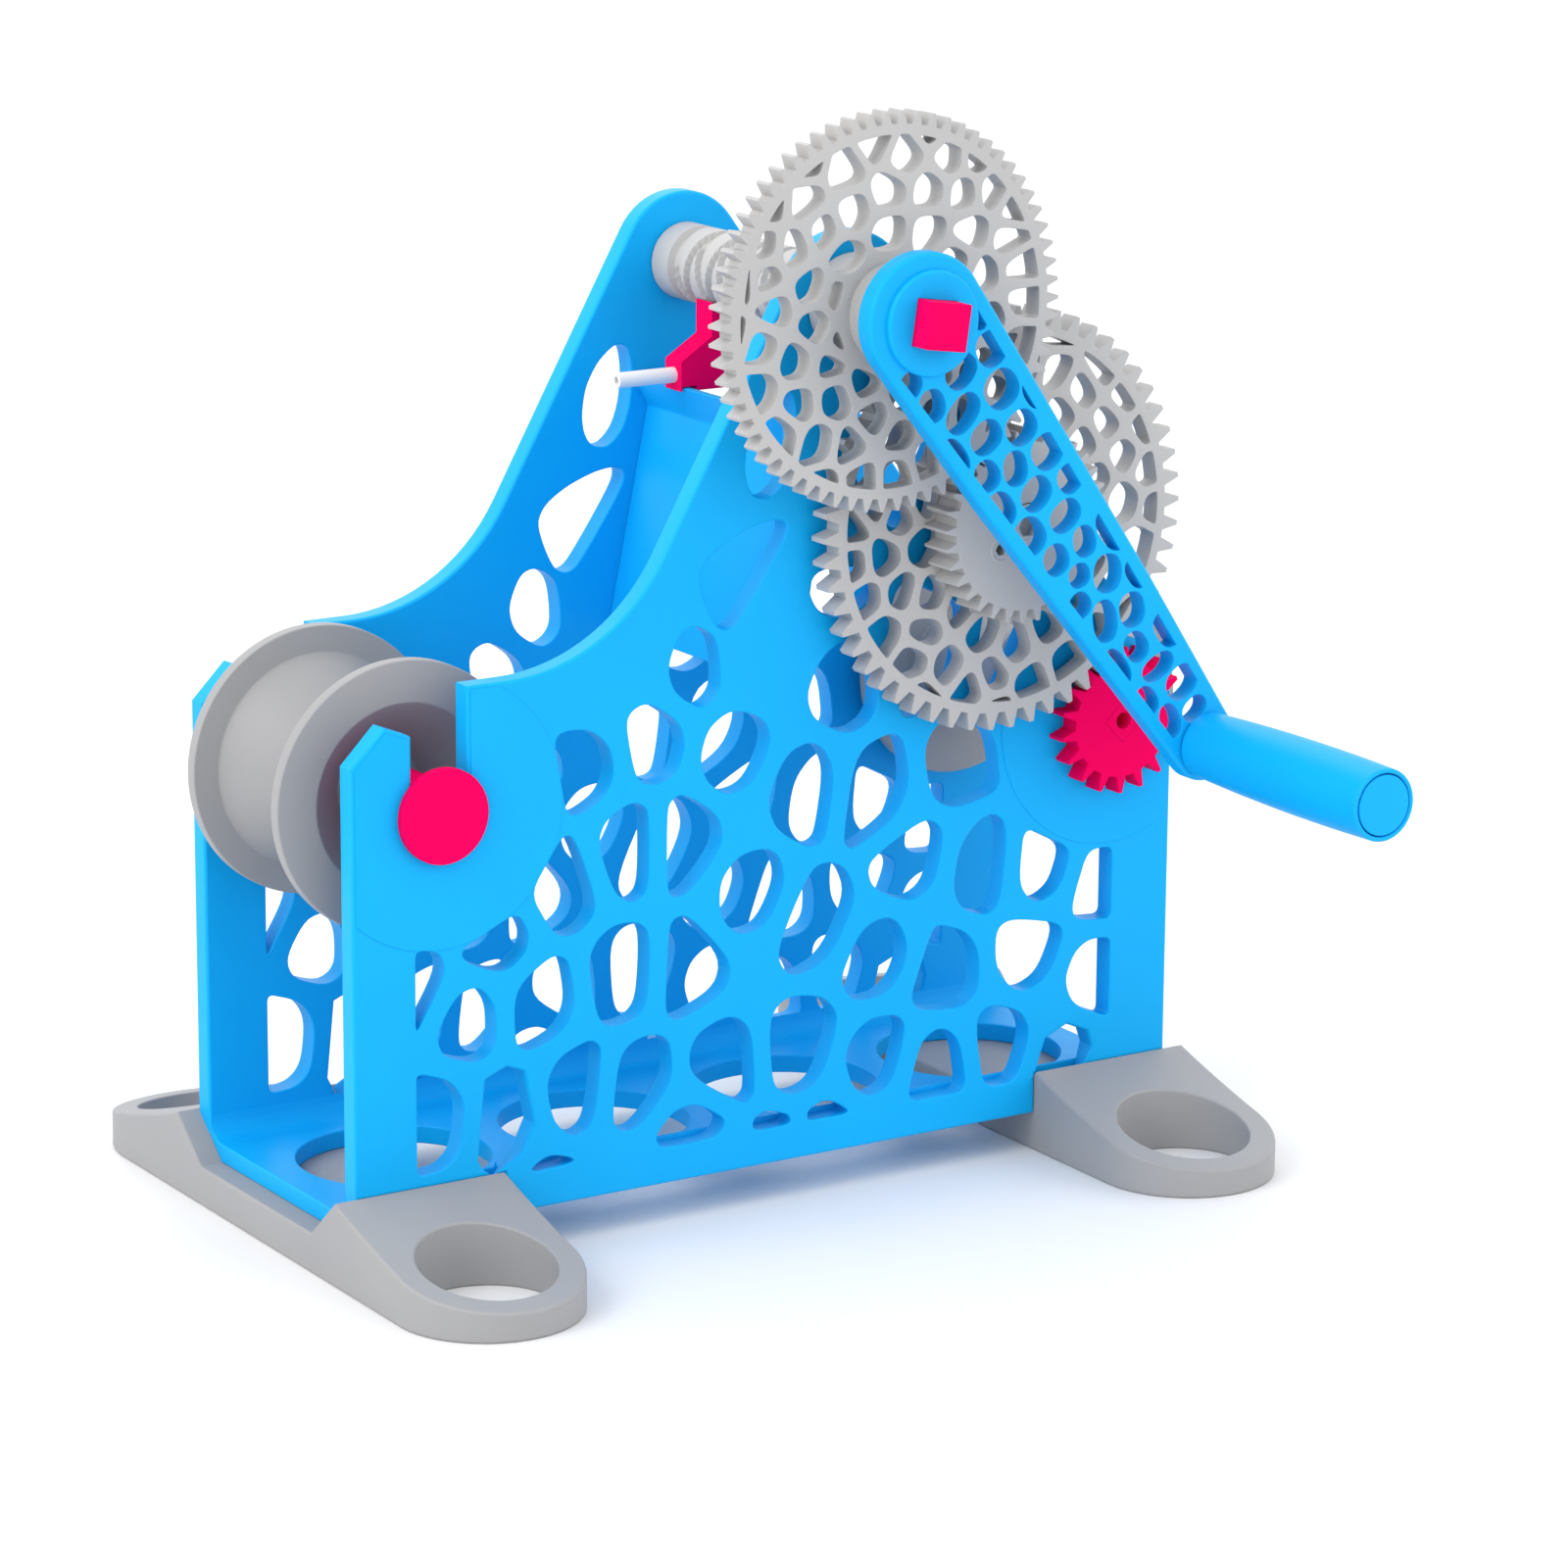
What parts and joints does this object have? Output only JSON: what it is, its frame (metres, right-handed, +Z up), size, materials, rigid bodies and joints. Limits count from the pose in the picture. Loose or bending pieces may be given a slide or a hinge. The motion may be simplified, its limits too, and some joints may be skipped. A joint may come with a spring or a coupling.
{
  "type": "filament spool winder",
  "caption": "Hand-cranked filament winder: lattice side walls on two feet, lattice gear train, grooved level-wind barrel with a filament carriage, source spool and take-up spool.",
  "frame": {"origin": "middle of the left foot's underside, on the table; the middle of the winder is 106.7 mm along +X", "axes": "+X from the source spool to the take-up spool, +Y from the geared near wall to the far wall, +Z up"},
  "size_m": [0.2709, 0.2581, 0.2879],
  "materials": {
    "blue_plastic": "smooth printed plastic with a soft sheen",
    "grey_plastic": "smooth printed plastic with a soft sheen",
    "light_grey_plastic": "smooth printed plastic with a soft sheen",
    "red_plastic": "smooth printed plastic with a soft sheen",
    "white_tube": "slightly glossy PTFE tube",
    "clip_steel": "plain spring steel"
  },
  "bodies": {
    "frame": {"near_side_wall": "blue_plastic", "far_side_wall": "blue_plastic", "floor_tray": "blue_plastic", "cross_web": "blue_plastic", "left_foot": "grey_plastic", "right_foot": "grey_plastic", "idler_axle": "light_grey_plastic", "idler_clip": "clip_steel"},
    "crank": {"crank_shaft": "red_plastic", "barrel_cam": "light_grey_plastic", "crank_gear": "light_grey_plastic", "crank_arm": "blue_plastic", "handle_pin": "blue_plastic"},
    "handle": {"handle_grip": "blue_plastic"},
    "idler": {"idler_gear": "light_grey_plastic", "idler_pinion": "light_grey_plastic"},
    "take_up": {"take_up_shaft": "red_plastic", "drive_pinion": "red_plastic", "take_up_spool": "grey_plastic"},
    "source_axle": {"source_axle": "red_plastic", "source_axle_cap": "red_plastic"},
    "source_spool": {"source_spool": "grey_plastic"},
    "carriage": {"carriage": "red_plastic", "follower_pin": "clip_steel", "guide_tube": "white_tube"}
  },
  "joints": [
    {"name": "crank_turn", "type": "hinge", "parent": "frame", "child": "crank", "pos_m": [0.12671, 0, 0.23696], "axis": [0, 1, 0], "continuous": true},
    {"name": "idler_turn", "type": "hinge", "parent": "frame", "child": "idler", "pos_m": [0.16991, 0, 0.17749], "axis": [0, 1, 0], "continuous": true},
    {"name": "take_up_turn", "type": "hinge", "parent": "frame", "child": "take_up", "pos_m": [0.2109, 0, 0.1183], "axis": [0, 1, 0], "continuous": true},
    {"name": "handle_turn", "type": "hinge", "parent": "crank", "child": "handle", "pos_m": [0.2157, -0.12, 0.11757], "axis": [0, 1, 0], "continuous": true},
    {"name": "source_axle_lift", "type": "slide", "parent": "frame", "child": "source_axle", "axis": [0, 0, 1], "range_m": [0, 0.045]},
    {"name": "source_spool_turn", "type": "hinge", "parent": "source_axle", "child": "source_spool", "pos_m": [0.0065, 0, 0.1183], "axis": [0, 1, 0], "continuous": true},
    {"name": "carriage_slide", "type": "slide", "parent": "frame", "child": "carriage", "axis": [0, 1, 0], "range_m": [-0.04107, 0.01307]}
  ],
  "couplings": [
    {"joint": "idler_turn", "follows": "crank_turn", "ratio": -2.0625},
    {"joint": "take_up_turn", "follows": "crank_turn", "ratio": 6.1875}
  ]
}
